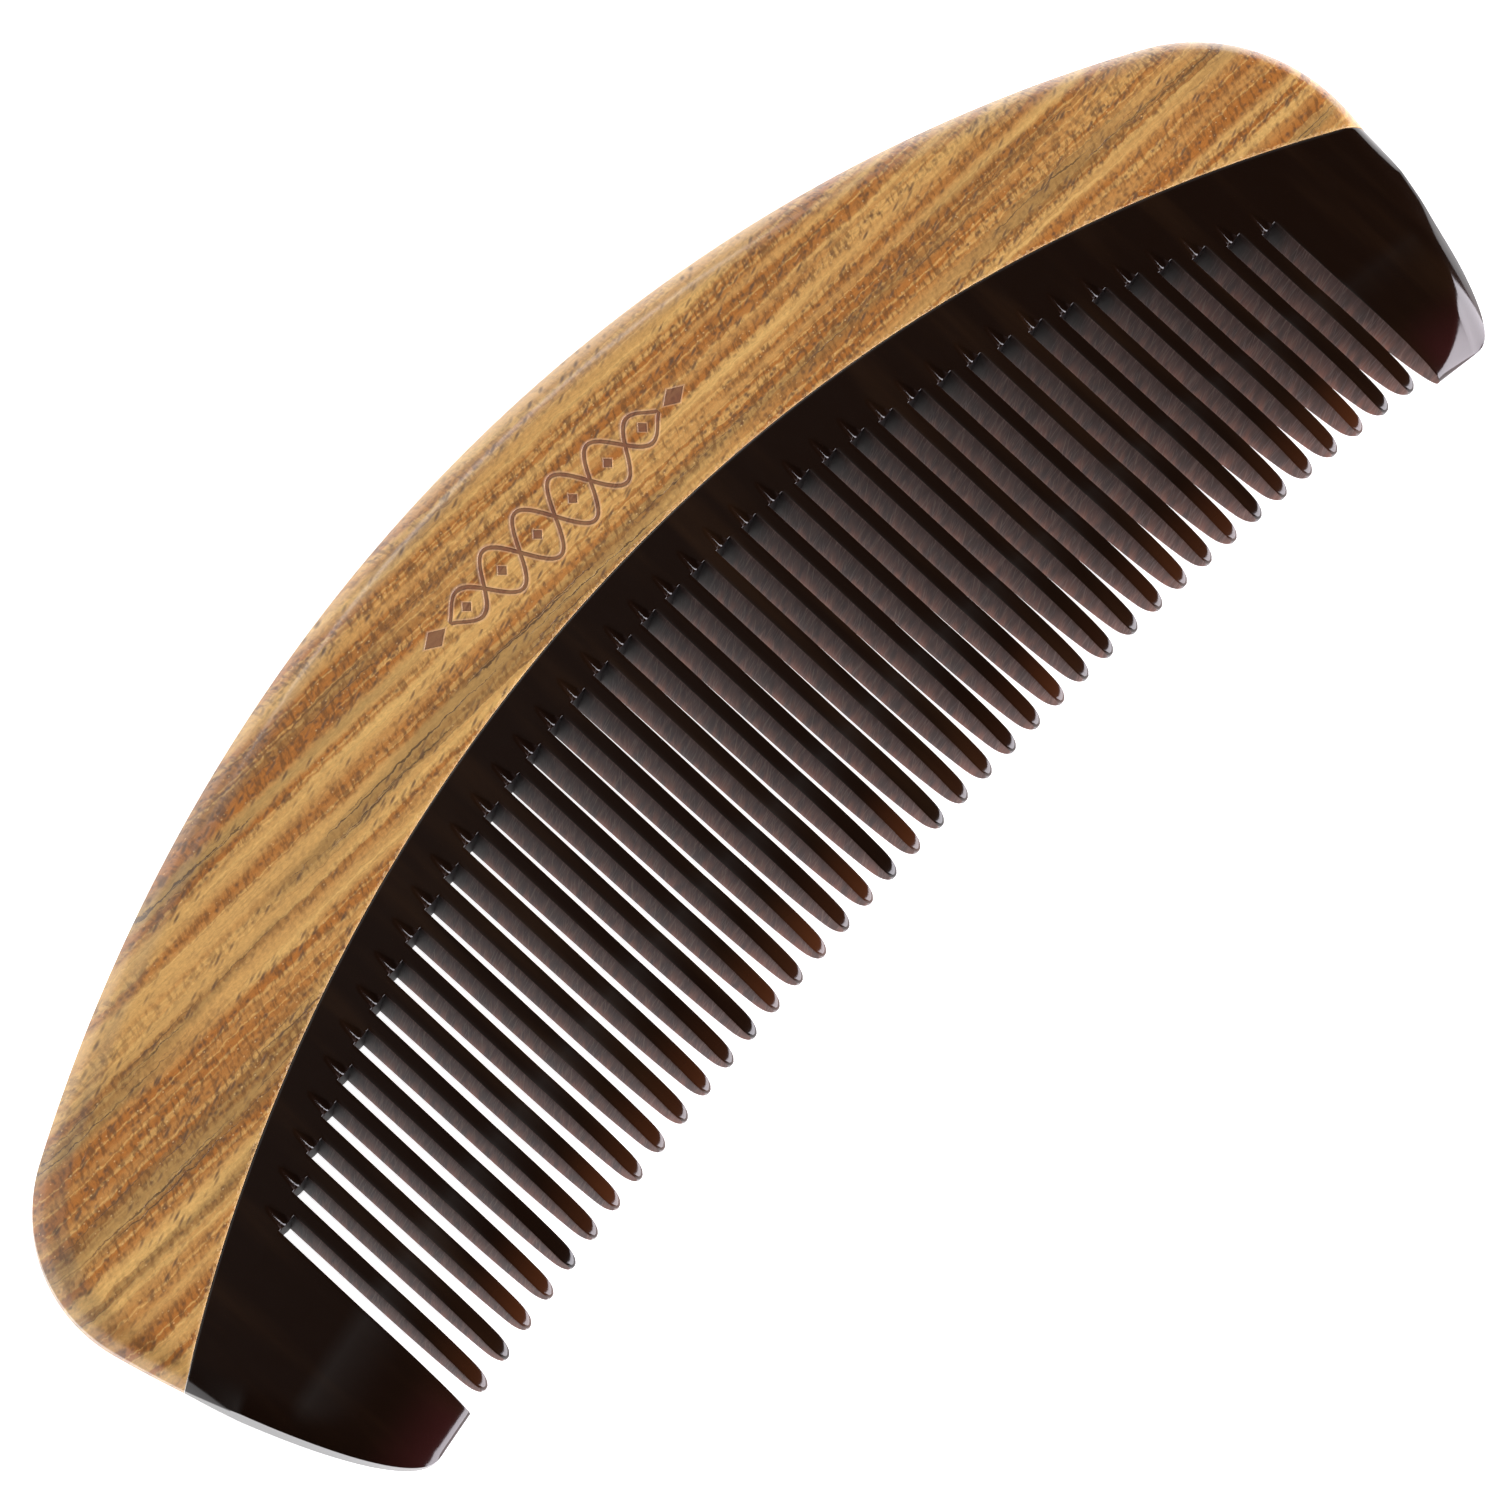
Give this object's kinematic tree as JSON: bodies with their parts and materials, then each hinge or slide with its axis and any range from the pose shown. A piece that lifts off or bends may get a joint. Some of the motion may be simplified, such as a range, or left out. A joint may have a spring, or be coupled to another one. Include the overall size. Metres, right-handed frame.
{
  "type": "beard comb",
  "caption": "Half-moon comb: a curved wooden back joined along an arc to a dark horn plate with tapered teeth and pointed notches above the slots.",
  "frame": {"origin": "middle of the comb's box seen from above, on the flat rear face that it lies on", "axes": "+X along the comb, +Y from the teeth to the back, +Z through the thickness towards the sloping front face"},
  "size_m": [0.169, 0.0625, 0.0079],
  "materials": {
    "wood_back": "oiled and polished, banded hardwood",
    "horn_tooth_plate": null
  },
  "bodies": {
    "root": {"wood_back": "wood_back", "horn_tooth_plate": "horn_tooth_plate"}
  },
  "joints": []
}
